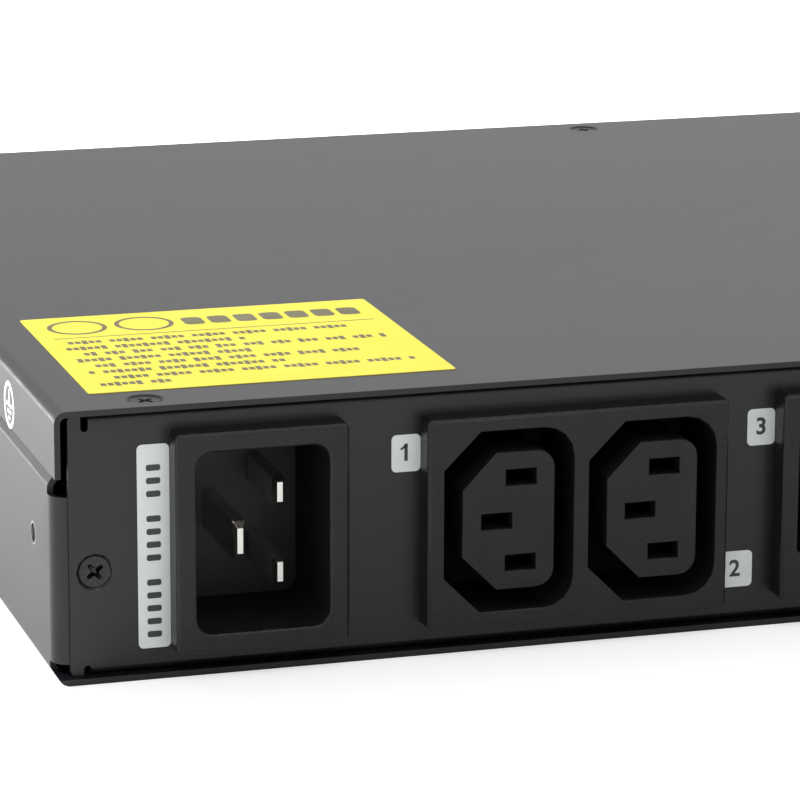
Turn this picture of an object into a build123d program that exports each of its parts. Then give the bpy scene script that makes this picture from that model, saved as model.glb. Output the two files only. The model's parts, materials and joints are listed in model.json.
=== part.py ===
from build123d import *
from math import cos, radians, sin
import os

# A 1U, 19-inch rack power distribution unit in a folded sheet steel case.
# Millimetres, +Z up. The outlets face -Y, the rack ears are at +Y and X runs along the outlet face.
# The origin is the bottom centre of the unit's bounding box.

os.makedirs("parts", exist_ok=True)

# Case
chassis_width = 432.0
chassis_depth = 212.5
chassis_height = 44.0
sheet = 1.0
fold = 1.0
seam_gap = 0.1

# Cover flange and the joggle in the tray's walls behind it
cover_flange = 10.7
joggle_gap = 0.5
joggle_rise = 1.8
joggle_radius = 0.5

# Return flanges at the tray's four corners
corner_flange_width = 12.0
corner_flange_rise = 2.7
corner_flange_top = 29.7
corner_flange_step = 5.0
corner_flange_fold = 2.0
corner_relief = 0.5
upper_wall_setback = 8.0

# End panels
panel_setback = 1.5
panel_side_gap = 0.3
panel_return = 11.0
panel_fold = 0.2
panel_tab = 2.05
panel_notch_width = 1.2
panel_notch_height = 1.6
panel_notch_drop = 2.65
panel_tab_radius = 0.8

# Countersunk M3 screws of the cover and the panels
screw_head_radius = 2.75
screw_head_sink = 0.25
screw_shank_radius = 1.5
screw_length = 4.5
screw_clearance = 0.1
countersink_play = 0.05
screw_cross_length = 3.2
screw_cross_width = 0.6
screw_cross_depth = 1.1
screw_cross_taper = 12
panel_screw_inset = 6.45
panel_screw_height = 17.7
front_screw_inset = 4.85
front_screw_side_inset = 15.5
rear_screw_inset = 6.35
rear_screw_side_inset = 157.9

# Screws, their holes and other small round pieces are prisms with this many sides
round_sides = 12

# Threaded holes in the side walls, with clinch nuts behind them
side_hole_radius = 2.0
side_hole_insets = (17.3, 49.3)
side_hole_height = 20.3
clinch_nut_width = 7.0
clinch_nut_length = 2.5
clinch_nut_bore = 1.65
clinch_shank_radius = 1.93
clinch_shank_play = 0.02

# Rack ears
ear_reach = 25.3
ear_sheet = 2.0
ear_height = 43.6
ear_leg = 58.0
ear_fold = 1.0
slot_inset = 8.75
slot_spacing_z = 31.75
slot_length = 10.3
slot_width = 6.8
ear_hole_radius = 2.25
ear_corner = 1.5
ear_screw_head_radius = 3.9
ear_screw_head_height = 2.4
ear_screw_head_chamfer = 0.8
ear_screw_length = 6.0
ear_screw_core = 1.6

# Bezels of the inlet and the outlets
bezel_proud = 2.8
bezel_edge = 0.5
bezel_corner = 0.5
bezel_height_centre = 22.0
cutout_play = 0.2
latch_width = 8.0
latch_height = 0.9
latch_length = 3.0
latch_gap = 0.1

# Inlet
inlet_position = 32.4
inlet_bezel_width = 28.0
inlet_bezel_height = 35.5
inlet_wall = 1.5
inlet_cavity_width = 21.4
inlet_cavity_height = 29.3
inlet_cavity_depth = 20.4
inlet_cavity_corner = 2.6
inlet_mouth_edge = 0.3
inlet_back = 2.5
pin_thickness = 2.0
pin_offset = 3.65
pin_spacing = 13.0
pin_height = 4.2
earth_pin_height = 6.0
pin_setback = 3.75
earth_pin_setback = 0.5
pin_tip_length = 1.2
pin_tip_thickness = 0.9
pin_tip_bevel = 0.5
earth_pin_tip_bevel = 0.95
pin_play = 0.02

# Tabs and push-on receptacles
tab_width = 4.8
tab_thickness = 0.8
tab_length = 8.0
receptacle_width = 6.2
receptacle_thickness = 3.4
receptacle_length = 16.0
receptacle_standoff = 0.5
tab_play = 0.05

# Outlet modules, two outlets in each
module_count = 6
module_first = 59.1
module_pitch = 60.0
module_width = 50.6
module_height = 34.3
module_body_width = 48.0
module_body_height = 32.0
module_back = 2.0
outlet_first = 15.45
outlet_pitch = 24.1
recess_depth = 17.0
recess_left = 12.7
recess_right = 8.8
recess_height = 29.6
recess_chamfer = 6.0
recess_corner = 5.0
core_left = 9.7
core_right = 5.6
core_height = 22.6
core_chamfer = 5.65
core_corner = 3.0
recess_corner_runs = 4
slot_hole_length = 5.1
slot_hole_height = 2.6
slot_hole_depth = 3.2
contact_spacing = 14.0
earth_contact_offset = 4.0
pocket_length = 6.8
pocket_height = 4.4
pocket_play = 0.1

# Sprung contacts in the pockets
contact_sheet = 0.5
contact_length = 6.4
contact_grip = 1.5
contact_mouth = 2.4
contact_reach = 10.0
contact_lip = 1.6

# Bus bars behind the modules
busbar_sheet = 1.0
busbar_height = 5.0
busbar_fold = 1.5
busbar_tab_position = 55.0
busbar_end = 6.0

# Insulating channel over the bus bars
terminal_cover_sheet = 0.8
terminal_cover_lap = 5.0
terminal_cover_room = 4.0
terminal_cover_play = 0.05
terminal_cover_fold = 0.6

# Leads and the case's earth point
lead_radius = 1.5
lead_sides = 8
lead_loop = 60.0
lead_approach = 14.0
lead_corner = 0.45
lead_corner_runs = 3
stud_position = 46.0
stud_inset = 104.0
stud_radius = 2.0
stud_length = 9.0
ring_radius = 4.0
ring_hole = 2.15
ring_sheet = 0.8
ring_play = 0.02
ring_neck = 3.0
ring_neck_lap = 0.5
ring_barrel_radius = 2.2
ring_barrel_start = 5.0
ring_barrel_length = 5.0
ring_angle = 40.0
washer_radius = 4.0
washer_sheet = 0.8
nut_width = 7.0
nut_height = 3.2

# Places worked out from the sizes above
left = -chassis_width / 2
rack_width = chassis_width + 2 * ear_reach
slot_spacing_x = rack_width - 2 * slot_inset
outlet_edge = (bezel_proud - chassis_depth) / 2
rack_edge = outlet_edge + chassis_depth
mid_depth = (outlet_edge + rack_edge) / 2
mid_plane = Plane.XZ.offset(-mid_depth)
fold_outer = fold + sheet
corner_fold_outer = corner_flange_fold + sheet
panel_fold_outer = panel_fold + sheet
wall_inset = sheet + seam_gap
flange_end = chassis_height - cover_flange
joggle_top = flange_end - joggle_gap
joggle_bottom = joggle_top - joggle_rise
wall_top = chassis_height - fold_outer - seam_gap
panel_top = chassis_height - sheet - seam_gap
panel_face = outlet_edge + panel_setback
flange_face = panel_face + sheet
panel_bottom = sheet + seam_gap
panel_end = wall_inset + sheet + panel_side_gap
channel_end = panel_end + panel_tab + panel_notch_width
bezel_face = outlet_edge - bezel_proud
bezel_depth = panel_face - bezel_face
module_rear = bezel_face + recess_depth + module_back
inlet_rear = bezel_face + inlet_cavity_depth + inlet_back
inlet_x = left + inlet_position
busbar_rear = module_rear + busbar_sheet
tab_end = busbar_rear + tab_length
countersink_radius = screw_head_radius + screw_head_sink + countersink_play
screw_pass_radius = countersink_radius - sheet
outlet_positions = [
    module_first + module_pitch * module + outlet_first + outlet_pitch * outlet
    for module in range(module_count)
    for outlet in range(2)
]
poles = {
    "line": (0.0, contact_spacing / 2),
    "neutral": (0.0, -contact_spacing / 2),
    "earth": (-earth_contact_offset, 0.0),
}


def across(y):
    """The XZ plane at y, whose normal points to -Y."""
    return Plane.XZ.offset(-y)


def corners(inset_x, inset_y, z):
    """The same spot in each of the case's four corners."""
    return [
        (side * (chassis_width / 2 - inset_x), mid_depth + end * (chassis_depth / 2 - inset_y), z)
        for side in (-1, 1)
        for end in (-1, 1)
    ]


def facing(spots, direction):
    """Planes at the spots whose normals all point one way."""
    return [Plane(origin=spot, z_dir=direction) for spot in spots]


def panel_screw_planes():
    """Planes on the panels' outer faces at their screws."""
    outer = corners(panel_screw_inset, panel_setback, panel_screw_height)
    return [Plane(origin=spot, z_dir=(0, 1 if spot[1] > mid_depth else -1, 0)) for spot in outer]


def cover_screw_planes():
    """Planes on the cover's top face at its screws."""
    front_x = left + front_screw_side_inset
    rear_x = left + rear_screw_side_inset
    front = [(x, outlet_edge + front_screw_inset, chassis_height) for x in (front_x, -front_x)]
    rear = [(x, rack_edge - rear_screw_inset, chassis_height) for x in (rear_x, -rear_x)]
    return facing(front + rear, (0, 0, 1))


def side_holes():
    """Spots on the lower side walls' outer faces at the threaded holes."""
    return [spot for inset in side_hole_insets for spot in corners(0, inset, side_hole_height)]


def tapered_pin(top_radius, pin_radius, length):
    """A 90 degree countersunk head on a straight pin, downwards from the part's XY plane."""
    with BuildSketch(Plane.XY) as top:
        RegularPolygon(top_radius, round_sides)
    with BuildSketch(Plane.XY.offset(pin_radius - top_radius)) as neck:
        RegularPolygon(pin_radius, round_sides)
    loft([top.sketch.face(), neck.sketch.face()], ruled=True)
    with BuildSketch(Plane.XY) as pin:
        RegularPolygon(pin_radius, round_sides)
    extrude(pin.sketch, amount=-length)


with BuildPart() as countersink:
    tapered_pin(countersink_radius, screw_shank_radius + screw_clearance, screw_length + sheet)

with BuildPart() as screw_pass:
    with BuildSketch(Plane.XY):
        RegularPolygon(screw_pass_radius, round_sides)
    extrude(amount=-screw_length)


def cut_countersinks(planes):
    """Cuts the conical holes of the countersunk screws into the part being made."""
    with Locations(*planes):
        add(countersink.part, mode=Mode.SUBTRACT)


def cut_screw_holes(planes):
    """Cuts the plain holes behind a countersunk sheet, as wide as the screws' heads are there."""
    with Locations(*planes):
        add(screw_pass.part, mode=Mode.SUBTRACT)


def channel(end_y, cutouts):
    """A folded end panel: a flat web with two end tabs, and flanges folded back above and below."""
    reach = panel_return if end_y < mid_depth else -panel_return
    depth = sheet if end_y < mid_depth else -sheet
    width = chassis_width - 2 * panel_end
    height = panel_top - panel_bottom
    middle = (panel_bottom + panel_top) / 2
    with BuildSketch(across(end_y)) as web:
        with Locations((0, middle)):
            RectangleRounded(width, height, panel_tab_radius)
        notch_x = chassis_width / 2 - channel_end + panel_notch_width / 2
        for z, notch_height in ((panel_bottom, panel_notch_height), (panel_top, panel_notch_drop)):
            with Locations((-notch_x, z), (notch_x, z)):
                SlotOverall(2 * notch_height, panel_notch_width, rotation=90, mode=Mode.SUBTRACT)
        with Locations((0, middle)):
            Rectangle(chassis_width - 2 * channel_end, height, mode=Mode.SUBTRACT)
    extrude(web.sketch, amount=-depth)
    with BuildSketch(Plane.YZ.offset(left + channel_end)) as section:
        with BuildLine():
            path = FilletPolyline(
                (end_y + reach, panel_top),
                (end_y, panel_top),
                (end_y, panel_bottom),
                (end_y + reach, panel_bottom),
                radius=panel_fold_outer,
            )
            offset(path, amount=sheet, side=Side.LEFT if reach > 0 else Side.RIGHT)
        make_face()
    extrude(section.sketch, amount=chassis_width - 2 * channel_end)
    for x, width, height in cutouts:
        with BuildSketch(across(end_y - sheet)) as hole:
            with Locations((x, bezel_height_centre)):
                Rectangle(width + 2 * cutout_play, height + 2 * cutout_play)
        extrude(hole.sketch, amount=-3 * sheet, mode=Mode.SUBTRACT)


def bezel(x, width, height):
    """A moulding's rim in front of the panel, with its corners and front edges broken."""
    with BuildSketch(across(bezel_face)) as rim:
        with Locations((x, bezel_height_centre)):
            Rectangle(width, height)
        chamfer(rim.vertices(), bezel_corner)
    block = extrude(rim.sketch, amount=-bezel_depth)
    chamfer(block.faces().sort_by(Axis.Y)[0].edges(), bezel_edge)


def latches(x, width, sides):
    """Wedge latches behind the panel, on the moulding's top and bottom."""
    for sign, level in sides:
        with BuildSketch(Plane.YZ.offset(x - width / 2)) as wedge:
            with BuildLine():
                start = flange_face + latch_gap
                Polyline(
                    (start, level - sign * latch_height),
                    (start, level + sign * latch_height),
                    (start + latch_length, level),
                    (start + latch_length, level - sign * latch_height),
                    close=True,
                )
            make_face()
        extrude(wedge.sketch, amount=width)


def recess_outline(left_side, right_side, height, chamfer, corner_radius):
    """The outlet's outline: two chamfered corners on the left and two round ones on the right.

    Each round corner is made of short straight runs.
    """
    top = height / 2
    turns = [90.0 * run / recess_corner_runs for run in range(recess_corner_runs + 1)]
    round_corner = [
        (right_side - corner_radius * (1 - sin(radians(turn))), top - corner_radius * (1 - cos(radians(turn))))
        for turn in turns
    ]
    Polyline(
        (-left_side, top - chamfer),
        (-left_side + chamfer, top),
        *round_corner,
        *[(x, -z) for x, z in reversed(round_corner)],
        (-left_side + chamfer, -top),
        (-left_side, -top + chamfer),
        close=True,
    )


# Tray

with BuildPart() as corner_flanges:
    with BuildSketch(Plane.XY.offset(corner_flange_rise)):
        with BuildLine():
            flange_path = FilletPolyline(
                (left, flange_face + corner_fold_outer + 2 * corner_relief),
                (left, flange_face),
                (left + corner_flange_width, flange_face),
                radius=corner_fold_outer,
            )
            offset(flange_path, amount=sheet, side=Side.LEFT)
        make_face()
    extrude(amount=corner_flange_top - corner_flange_rise)
    step_length = corner_flange_width - corner_flange_step
    step_height = panel_bottom + fold_outer + seam_gap - corner_flange_rise
    step_spot = (left + corner_flange_step + step_length / 2, flange_face, corner_flange_rise + step_height / 2)
    with Locations(step_spot):
        Box(step_length, 4 * sheet, step_height, mode=Mode.SUBTRACT)
    mirror(about=Plane.YZ)
    mirror(about=mid_plane)

with BuildPart() as base_tray:
    with BuildSketch(across(rack_edge)):
        with BuildLine():
            wall_path = FilletPolyline(
                (left + wall_inset, wall_top),
                (left + wall_inset, joggle_top),
                (left, joggle_bottom),
                (left, 0),
                (-left, 0),
                (-left, joggle_bottom),
                (-left - wall_inset, joggle_top),
                (-left - wall_inset, wall_top),
                radius=[
                    joggle_radius,
                    joggle_radius + sheet,
                    fold_outer,
                    fold_outer,
                    joggle_radius + sheet,
                    joggle_radius,
                ],
            )
            offset(wall_path, amount=sheet, side=Side.LEFT)
        make_face()
    extrude(amount=chassis_depth)
    relief_depth = flange_face + corner_fold_outer + corner_relief - outlet_edge
    with Locations(*corners(panel_end / 2, relief_depth / 2, (sheet + flange_end) / 2)):
        Box(panel_end, relief_depth, flange_end - sheet, mode=Mode.SUBTRACT)
    with Locations(*corners(panel_end / 2, upper_wall_setback / 2, (flange_end + wall_top) / 2)):
        Box(panel_end, upper_wall_setback, wall_top - flange_end, mode=Mode.SUBTRACT)
    add(corner_flanges.part)
    cut_screw_holes(panel_screw_planes())
    with BuildSketch(Plane.YZ.offset(left)) as holes:
        with Locations(*[(y, z) for x, y, z in side_holes() if x < 0]):
            RegularPolygon(side_hole_radius, round_sides)
    extrude(holes.sketch, amount=chassis_width, mode=Mode.SUBTRACT)
base_tray.part.label = "base_tray"

# Cover

with BuildPart() as top_cover:
    with BuildSketch(across(rack_edge)):
        with BuildLine():
            cover_path = FilletPolyline(
                (left, flange_end),
                (left, chassis_height),
                (-left, chassis_height),
                (-left, flange_end),
                radius=fold_outer,
            )
            offset(cover_path, amount=sheet, side=Side.RIGHT)
        make_face()
    extrude(amount=chassis_depth)
    cut_countersinks(cover_screw_planes())
top_cover.part.label = "top_cover"

# End panels

module_cutouts = [
    (left + module_first + module_pitch * index + module_width / 2, module_body_width, module_body_height)
    for index in range(module_count)
]
inlet_body_width = inlet_cavity_width + 2 * inlet_wall
inlet_body_height = inlet_cavity_height + 2 * inlet_wall
inlet_cutout = (inlet_x, inlet_body_width, inlet_body_height)

with BuildPart() as outlet_panel:
    channel(panel_face, [inlet_cutout] + module_cutouts)
    cut_countersinks(panel_screw_planes())
    cut_screw_holes(cover_screw_planes())
outlet_panel.part.label = "outlet_panel"

with BuildPart() as front_panel:
    channel(rack_edge - panel_setback, [])
    cut_countersinks(panel_screw_planes())
    cut_screw_holes(cover_screw_planes())
front_panel.part.label = "front_panel"

# Rack ears

with BuildPart() as rack_ear_right:
    with BuildSketch(Plane.XY.offset((chassis_height - ear_height) / 2)):
        with BuildLine():
            ear_path = FilletPolyline(
                (-left, rack_edge - ear_leg),
                (-left, rack_edge),
                (rack_width / 2, rack_edge),
                radius=ear_fold + ear_sheet,
            )
            offset(ear_path, amount=ear_sheet, side=Side.RIGHT)
        make_face()
    extrude(amount=ear_height)
    ear_edges = rack_ear_right.edges().filter_by(Axis.Y).filter_by(
        lambda edge: edge.length < 1.01 * ear_sheet and edge.center().X > rack_width / 2 - ear_sheet
    )
    chamfer(ear_edges, ear_corner)
    leg_edges = rack_ear_right.edges().filter_by(Axis.X).filter_by(
        lambda edge: edge.center().Y < rack_edge - ear_leg + ear_sheet
    )
    chamfer(leg_edges, ear_corner)
    with BuildSketch(across(rack_edge)):
        with Locations((0, chassis_height / 2)):
            with GridLocations(slot_spacing_x, slot_spacing_z, 2, 2):
                SlotOverall(slot_length, slot_width)
    extrude(amount=ear_sheet, mode=Mode.SUBTRACT)
    with BuildSketch(Plane.YZ.offset(-left)) as leg_holes:
        with Locations(*[(y, z) for x, y, z in side_holes() if x > 0 and y > mid_depth]):
            RegularPolygon(ear_hole_radius, round_sides)
    extrude(leg_holes.sketch, amount=ear_sheet, mode=Mode.SUBTRACT)
rack_ear_right.part.label = "rack_ear_right"

with BuildPart() as rack_ear_left:
    mirror(rack_ear_right.part, about=Plane.YZ)
rack_ear_left.part.label = "rack_ear_left"

# Screws and nuts

with BuildPart() as countersunk_screw:
    tapered_pin(screw_head_radius, screw_shank_radius, screw_length)
    with BuildSketch(Plane.XY):
        Rectangle(screw_cross_length, screw_cross_width)
        Rectangle(screw_cross_width, screw_cross_length)
    extrude(amount=-screw_cross_depth, taper=screw_cross_taper, mode=Mode.SUBTRACT)

with BuildPart() as cover_screws:
    with Locations(*[plane.offset(-screw_head_sink) for plane in cover_screw_planes()]):
        add(countersunk_screw.part)
cover_screws.part.label = "cover_screws"

with BuildPart() as panel_screws:
    with Locations(*[plane.offset(-screw_head_sink) for plane in panel_screw_planes()]):
        add(countersunk_screw.part)
panel_screws.part.label = "panel_screws"

with BuildPart() as pan_screw:
    with BuildSketch(Plane.XY):
        RegularPolygon(ear_screw_head_radius, round_sides)
    extrude(amount=ear_screw_head_height)
    chamfer(pan_screw.edges().group_by(Axis.Z)[-1], ear_screw_head_chamfer)
    with BuildSketch(Plane.XY.offset(ear_screw_head_height)):
        Rectangle(screw_cross_length, screw_cross_width)
        Rectangle(screw_cross_width, screw_cross_length)
    extrude(amount=-screw_cross_depth, taper=screw_cross_taper, mode=Mode.SUBTRACT)
    with BuildSketch(Plane.XY):
        RegularPolygon(ear_screw_core, round_sides)
    extrude(amount=-ear_screw_length)

with BuildPart() as ear_screws:
    ear_spots = [spot for spot in side_holes() if spot[1] > mid_depth]
    heads = [(x + (ear_sheet if x > 0 else -ear_sheet), y, z) for x, y, z in ear_spots]
    with Locations(*[Plane(origin=head, z_dir=(head[0], 0, 0)) for head in heads]):
        add(pan_screw.part)
ear_screws.part.label = "ear_screws"

with BuildPart() as clinch_nut:
    with BuildSketch(Plane.XY):
        RegularPolygon(clinch_nut_width / 2, 6, major_radius=False)
    extrude(amount=-clinch_nut_length)
    with BuildSketch(Plane.XY):
        RegularPolygon(clinch_shank_radius, round_sides)
    extrude(amount=sheet - clinch_shank_play)
    with BuildSketch(Plane.XY.offset(-clinch_nut_length)):
        Circle(clinch_nut_bore)
    extrude(amount=clinch_nut_length + sheet, mode=Mode.SUBTRACT)

with BuildPart() as side_clinch_nuts:
    inner = [(x + (-sheet if x > 0 else sheet), y, z) for x, y, z in side_holes()]
    with Locations(*[Plane(origin=spot, z_dir=(spot[0], 0, 0)) for spot in inner]):
        add(clinch_nut.part)
side_clinch_nuts.part.label = "side_clinch_nuts"

# Inlet

with BuildPart() as inlet_housing:
    bezel(inlet_x, inlet_bezel_width, inlet_bezel_height)
    with BuildSketch(across(bezel_face + bezel_depth / 2)):
        with Locations((inlet_x, bezel_height_centre)):
            Rectangle(inlet_body_width, inlet_body_height)
    extrude(amount=bezel_face + bezel_depth / 2 - inlet_rear)
    latches(
        inlet_x,
        latch_width,
        [
            (1, bezel_height_centre + inlet_body_height / 2),
            (-1, bezel_height_centre - inlet_body_height / 2),
        ],
    )
    with BuildSketch(across(bezel_face)):
        with Locations((inlet_x, bezel_height_centre)):
            RectangleRounded(inlet_cavity_width, inlet_cavity_height, inlet_cavity_corner)
    extrude(amount=-inlet_cavity_depth, mode=Mode.SUBTRACT)
    mouth = inlet_housing.faces().sort_by(Axis.Y)[0].inner_wires()[0]
    chamfer(mouth.edges(), inlet_mouth_edge)
    with BuildSketch(across(inlet_rear)):
        for pin_x, pin_z, height in (
            (pin_offset, pin_spacing / 2, pin_height),
            (pin_offset, -pin_spacing / 2, pin_height),
            (-pin_offset, 0, earth_pin_height),
        ):
            with Locations((inlet_x + pin_x, bezel_height_centre + pin_z)):
                Rectangle(pin_thickness + 2 * pin_play, height + 2 * pin_play)
    extrude(amount=inlet_back, mode=Mode.SUBTRACT)
inlet_housing.part.label = "inlet_housing"

inlet_pins = {
    "inlet_pin_line": (pin_offset, pin_spacing / 2, pin_height, pin_setback, pin_tip_bevel),
    "inlet_pin_neutral": (pin_offset, -pin_spacing / 2, pin_height, pin_setback, pin_tip_bevel),
    "inlet_pin_earth": (-pin_offset, 0, earth_pin_height, earth_pin_setback, earth_pin_tip_bevel),
}

for name, (pin_x, pin_z, height, setback, bevel) in inlet_pins.items():
    centre = (inlet_x + pin_x, bezel_height_centre + pin_z)
    tip = bezel_face + setback
    with BuildPart() as pin:
        with BuildSketch(across(inlet_rear)):
            with Locations(centre):
                Rectangle(pin_thickness, height)
        extrude(amount=inlet_rear - tip - pin_tip_length)
        with BuildSketch(across(tip + pin_tip_length)):
            with Locations(centre):
                Rectangle(pin_thickness, height)
        with BuildSketch(across(tip)):
            with Locations(centre):
                Rectangle(pin_tip_thickness, height - 2 * bevel)
        loft(ruled=True)
        with BuildSketch(across(inlet_rear)):
            with Locations(centre):
                Rectangle(tab_thickness, tab_width)
        extrude(amount=-tab_length)
    pin.part.label = name
    export_step(pin.part, f"parts/{name}.step")

# Outlet modules

with BuildPart() as outlet_module:
    bezel(module_width / 2, module_width, module_height)
    with BuildSketch(across(panel_face)):
        with Locations((module_width / 2, bezel_height_centre)):
            Rectangle(module_body_width, module_body_height)
    extrude(amount=panel_face - module_rear)
    for side in (-1, 1):
        latches(
            module_width / 2 + side * module_body_width / 3,
            latch_width,
            [
                (1, bezel_height_centre + module_body_height / 2),
                (-1, bezel_height_centre - module_body_height / 2),
            ],
        )
    for outlet_x in (outlet_first, outlet_first + outlet_pitch):
        with BuildSketch(across(bezel_face).shift_origin((outlet_x, bezel_face, bezel_height_centre))):
            with BuildLine():
                recess_outline(recess_left, recess_right, recess_height, recess_chamfer, recess_corner)
            make_face()
            with BuildLine():
                recess_outline(core_left, core_right, core_height, core_chamfer, core_corner)
            make_face(mode=Mode.SUBTRACT)
        extrude(amount=-recess_depth, mode=Mode.SUBTRACT)
        spots = [(outlet_x + x, bezel_height_centre + z) for x, z in poles.values()]
        with BuildSketch(across(bezel_face)):
            with Locations(*spots):
                Rectangle(slot_hole_length, slot_hole_height)
        extrude(amount=-2 * slot_hole_depth, mode=Mode.SUBTRACT)
        with BuildSketch(across(bezel_face + slot_hole_depth)):
            with Locations(*spots):
                Rectangle(pocket_length, pocket_height)
        extrude(amount=bezel_face + slot_hole_depth - module_rear, mode=Mode.SUBTRACT)

for index in range(module_count):
    with BuildPart() as module:
        with Locations((left + module_first + module_pitch * index, 0, 0)):
            add(outlet_module.part)
    module.part.label = f"outlet_module_{2 * index + 1}_{2 * index + 2}"
    export_step(module.part, f"parts/{module.part.label}.step")

# Sprung contacts and bus bars, one set for each pole

pocket_rear = module_rear - contact_sheet
contact_front = pocket_rear - contact_reach

with BuildPart() as contact:
    with BuildSketch(Plane.YZ.offset(-contact_length / 2)):
        with BuildLine():
            half_back = pocket_height / 2 - pocket_play
            grip = contact_grip / 2
            lip = contact_mouth / 2
            leaf = Polyline(
                (contact_front, lip),
                (contact_front + contact_lip, grip),
                (pocket_rear, half_back - contact_sheet),
                (pocket_rear, 0),
            )
            offset(leaf, amount=contact_sheet, side=Side.LEFT, kind=Kind.INTERSECTION)
        make_face()
        mirror(about=Plane.XZ)
    extrude(amount=contact_length)

lead_starts = {}
for pole, (offset_x, offset_z) in poles.items():
    height = bezel_height_centre + offset_z
    spots = [(left + position + offset_x, 0, height) for position in outlet_positions]
    with BuildPart() as contacts:
        with Locations(*spots):
            add(contact.part)
    contacts.part.label = f"{pole}_contacts"
    export_step(contacts.part, f"parts/{pole}_contacts.step")

    bar_left = left + busbar_tab_position
    bar_right = spots[-1][0] + tab_width / 2 + busbar_end
    with BuildPart() as busbar:
        with BuildSketch(Plane.XY.offset(height - busbar_height / 2)):
            with BuildLine():
                bar_path = FilletPolyline(
                    (bar_left, tab_end),
                    (bar_left, module_rear),
                    (bar_right, module_rear),
                    radius=busbar_fold,
                )
                offset(bar_path, amount=busbar_sheet, side=Side.LEFT)
            make_face()
        extrude(amount=busbar_height)
    busbar.part.label = f"{pole}_busbar"
    export_step(busbar.part, f"parts/{pole}_busbar.step")

# Insulating channel

cover_low = bezel_height_centre - module_body_height / 2 - terminal_cover_play - terminal_cover_sheet
cover_high = bezel_height_centre + module_body_height / 2 + terminal_cover_play + terminal_cover_sheet
cover_start = left + module_first + (module_width - module_body_width) / 2
cover_finish = cover_start + module_pitch * (module_count - 1) + module_body_width

with BuildPart() as terminal_cover:
    with BuildSketch(Plane.YZ.offset(cover_start)):
        with BuildLine():
            cover_section = FilletPolyline(
                (module_rear - terminal_cover_lap, cover_high),
                (busbar_rear + terminal_cover_room, cover_high),
                (busbar_rear + terminal_cover_room, cover_low),
                (module_rear - terminal_cover_lap, cover_low),
                radius=terminal_cover_fold + terminal_cover_sheet,
            )
            offset(cover_section, amount=terminal_cover_sheet, side=Side.RIGHT)
        make_face()
    extrude(amount=cover_finish - cover_start)
terminal_cover.part.label = "terminal_cover"

# Push-on receptacles

inlet_tabs = {
    "line": (inlet_x + pin_offset, bezel_height_centre + pin_spacing / 2),
    "neutral": (inlet_x + pin_offset, bezel_height_centre - pin_spacing / 2),
    "earth": (inlet_x - pin_offset, bezel_height_centre),
}
bar_tabs = {
    pole: (left + busbar_tab_position + busbar_sheet / 2, bezel_height_centre + z)
    for pole, (_, z) in poles.items()
}

inlet_lead_start = inlet_rear + receptacle_standoff + receptacle_length
bar_lead_start = busbar_rear + receptacle_standoff + receptacle_length
with BuildPart() as lead_receptacles:
    for (tab_x, tab_z), base, end, thickness, width in [
        *[(spot, inlet_rear, inlet_lead_start, tab_thickness, tab_width) for spot in inlet_tabs.values()],
        *[(spot, busbar_rear, bar_lead_start, busbar_sheet, busbar_height) for spot in bar_tabs.values()],
    ]:
        with BuildSketch(across(end)) as sleeve:
            with Locations((tab_x, tab_z)):
                Rectangle(receptacle_thickness, receptacle_width)
        extrude(sleeve.sketch, amount=receptacle_length)
        with BuildSketch(across(base)) as mouth_hole:
            with Locations((tab_x, tab_z)):
                Rectangle(thickness + 2 * tab_play, width + 2 * tab_play)
        extrude(mouth_hole.sketch, amount=-tab_length - 2 * tab_play, mode=Mode.SUBTRACT)
lead_receptacles.part.label = "lead_receptacles"

# Earth point

stud_x = left + stud_position
stud_y = outlet_edge + stud_inset

with BuildPart() as earth_stud:
    with BuildSketch(Plane.XY.offset(sheet)):
        with Locations((stud_x, stud_y)):
            RegularPolygon(stud_radius, round_sides)
    extrude(amount=stud_length)
earth_stud.part.label = "earth_stud"

ring_levels = (sheet, sheet + ring_sheet + ring_play)
ring_directions = [(-sin(radians(ring_angle)), -cos(radians(ring_angle))),
                   (sin(radians(ring_angle)), -cos(radians(ring_angle)))]

with BuildPart() as ring_terminals:
    for level, (toward_x, toward_y) in zip(ring_levels, ring_directions):
        with BuildSketch(Plane((stud_x, stud_y, level), x_dir=(toward_x, toward_y, 0), z_dir=(0, 0, 1))) as ring:
            RegularPolygon(ring_radius, round_sides)
            with Locations((ring_barrel_start / 2 + ring_neck_lap, 0)):
                Rectangle(ring_barrel_start + 2 * ring_neck_lap, ring_neck)
            RegularPolygon(ring_hole, round_sides, major_radius=False, mode=Mode.SUBTRACT)
        extrude(ring.sketch, amount=ring_sheet)
        origin = (
            stud_x + toward_x * ring_barrel_start,
            stud_y + toward_y * ring_barrel_start,
            level + ring_barrel_radius,
        )
        with BuildSketch(Plane(origin, x_dir=(0, 0, 1), z_dir=(toward_x, toward_y, 0))) as barrel:
            RegularPolygon(ring_barrel_radius, lead_sides, major_radius=False, rotation=180 / lead_sides)
        extrude(barrel.sketch, amount=ring_barrel_length)
ring_terminals.part.label = "ring_terminals"

stack_top = ring_levels[1] + ring_sheet
with BuildPart() as earth_washer:
    with BuildSketch(Plane.XY.offset(stack_top)):
        with Locations((stud_x, stud_y)):
            RegularPolygon(washer_radius, round_sides)
            RegularPolygon(ring_hole, round_sides, major_radius=False, mode=Mode.SUBTRACT)
    extrude(amount=washer_sheet)
earth_washer.part.label = "earth_washer"

with BuildPart() as earth_nut:
    with BuildSketch(Plane.XY.offset(stack_top + washer_sheet)):
        with Locations((stud_x, stud_y)):
            RegularPolygon(nut_width / 2, 6, major_radius=False)
            RegularPolygon(stud_radius + tab_play, round_sides, mode=Mode.SUBTRACT)
    extrude(amount=nut_height)
earth_nut.part.label = "earth_nut"

# Leads


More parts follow.
